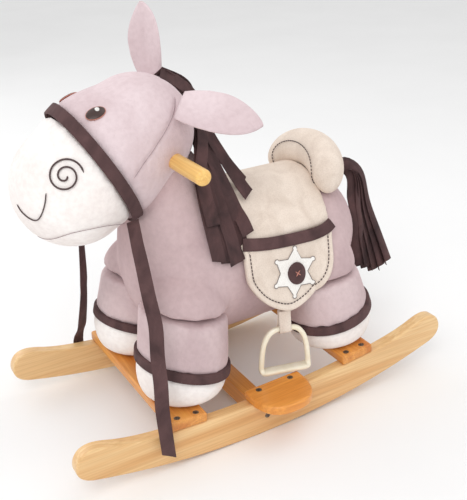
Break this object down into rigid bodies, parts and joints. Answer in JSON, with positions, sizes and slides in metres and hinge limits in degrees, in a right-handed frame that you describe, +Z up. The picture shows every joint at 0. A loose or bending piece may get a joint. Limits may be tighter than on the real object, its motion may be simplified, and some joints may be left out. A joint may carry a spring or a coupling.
{
  "type": "plush rocking donkey",
  "caption": "Stuffed plush donkey on curved wooden rockers, with a padded saddle, cross handle, footrests, hanging stirrups, fabric reins, mane and tail.",
  "frame": {"origin": "on the floor, below the middle of the toy's bounding box", "axes": "-Y the way the donkey faces, +X its left side, +Z up; the toy rests a little nose-down on its rockers"},
  "size_m": [0.398, 0.6177, 0.5976],
  "materials": {
    "wood_pale": "clear-lacquered pale hardwood",
    "wood_honey": "clear-lacquered honey-coloured wood",
    "wood_hidden": "plain sawn wood, hidden in the stuffing",
    "screw_steel": "dark countersunk screws",
    "plush_body": "short-pile mauve-taupe plush",
    "plush_head": "short-pile pinkish-grey plush",
    "plush_white": "short-pile warm white plush",
    "suede_brown": "dark brown imitation suede",
    "suede_cream": "cream imitation suede, padded",
    "ivory_plastic": "ivory moulded plastic"
  },
  "bodies": {
    "toy": {"rocker_left": "wood_pale", "rocker_right": "wood_pale", "centre_rail": "wood_pale", "front_foot_board": "wood_honey", "rear_foot_board": "wood_honey", "footrest_left": "wood_honey", "footrest_right": "wood_honey", "handle_bar": "wood_honey", "seat_board": "wood_hidden", "neck_post": "wood_hidden", "leg_post_front_left": "wood_hidden", "leg_post_front_right": "wood_hidden", "leg_post_rear_left": "wood_hidden", "leg_post_rear_right": "wood_hidden", "front_board_screw_left_a": "screw_steel", "front_board_screw_left_b": "screw_steel", "front_board_screw_right_a": "screw_steel", "front_board_screw_right_b": "screw_steel", "rear_board_screw_left_a": "screw_steel", "rear_board_screw_left_b": "screw_steel", "rear_board_screw_right_a": "screw_steel", "rear_board_screw_right_b": "screw_steel", "footrest_screw_left_a": "screw_steel", "footrest_screw_left_b": "screw_steel", "footrest_screw_right_a": "screw_steel", "footrest_screw_right_b": "screw_steel", "rail_screw_left": "screw_steel", "rail_screw_right": "screw_steel", "torso": "plush_body", "head": "plush_head", "ear_left": "plush_head", "ear_right": "plush_head", "leg_front_left": "plush_head", "leg_front_right": "plush_head", "leg_rear_left": "plush_head", "leg_rear_right": "plush_head", "muzzle": "plush_white", "hoof_front_left": "plush_white", "hoof_front_right": "plush_white", "hoof_rear_left": "plush_white", "hoof_rear_right": "plush_white", "noseband": "suede_brown", "rein_left": "suede_brown", "rein_right": "suede_brown", "mane": "suede_brown", "tail": "suede_brown", "hoof_band_front_left": "suede_brown", "hoof_band_front_right": "suede_brown", "hoof_band_rear_left": "suede_brown", "hoof_band_rear_right": "suede_brown", "saddle_seat": "suede_cream", "saddle_cantle": "suede_cream", "saddle_flap_left": "suede_cream", "saddle_flap_right": "suede_cream", "stirrup_strap_left": "suede_cream", "stirrup_strap_right": "suede_cream"},
    "stirrup_left": {"stirrup_left": "ivory_plastic"},
    "stirrup_right": {"stirrup_right": "ivory_plastic"}
  },
  "joints": [
    {"name": "stirrup_left_swing", "type": "hinge", "parent": "toy", "child": "stirrup_left", "pos_m": [0.124, 0.02823, 0.14698], "axis": [-0.2419, -0.9703, 0], "range_deg": [-2, 75]},
    {"name": "stirrup_right_swing", "type": "hinge", "parent": "toy", "child": "stirrup_right", "pos_m": [-0.124, 0.02823, 0.14698], "axis": [-0.2419, 0.9703, 0], "range_deg": [-2, 75]}
  ]
}
